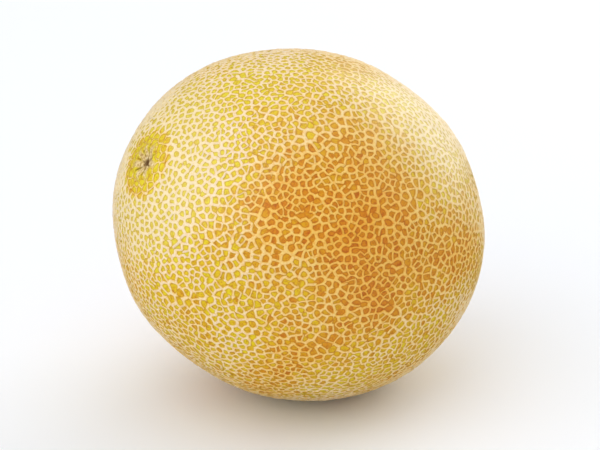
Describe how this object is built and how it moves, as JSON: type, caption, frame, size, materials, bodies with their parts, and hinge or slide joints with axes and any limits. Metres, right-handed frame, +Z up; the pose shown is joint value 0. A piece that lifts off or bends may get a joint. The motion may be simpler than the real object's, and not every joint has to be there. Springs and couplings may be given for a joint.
{
  "type": "netted melon",
  "caption": "Whole ripe netted melon, slightly longer than wide, lying on its side on a small flat spot with its stem scar raised.",
  "frame": {"origin": "on the surface that the melon rests on, at the bottom centre of its box, on the flat spot", "axes": "+Z up; the fruit's long axis lies in the XZ plane, with the stem end towards -X and raised 30 degrees"},
  "size_m": [0.1434, 0.1318, 0.1345],
  "materials": {
    "netted_rind": "raised cream cork net over satin yellow to orange skin"
  },
  "bodies": {
    "root": {"melon": "netted_rind"}
  },
  "joints": []
}
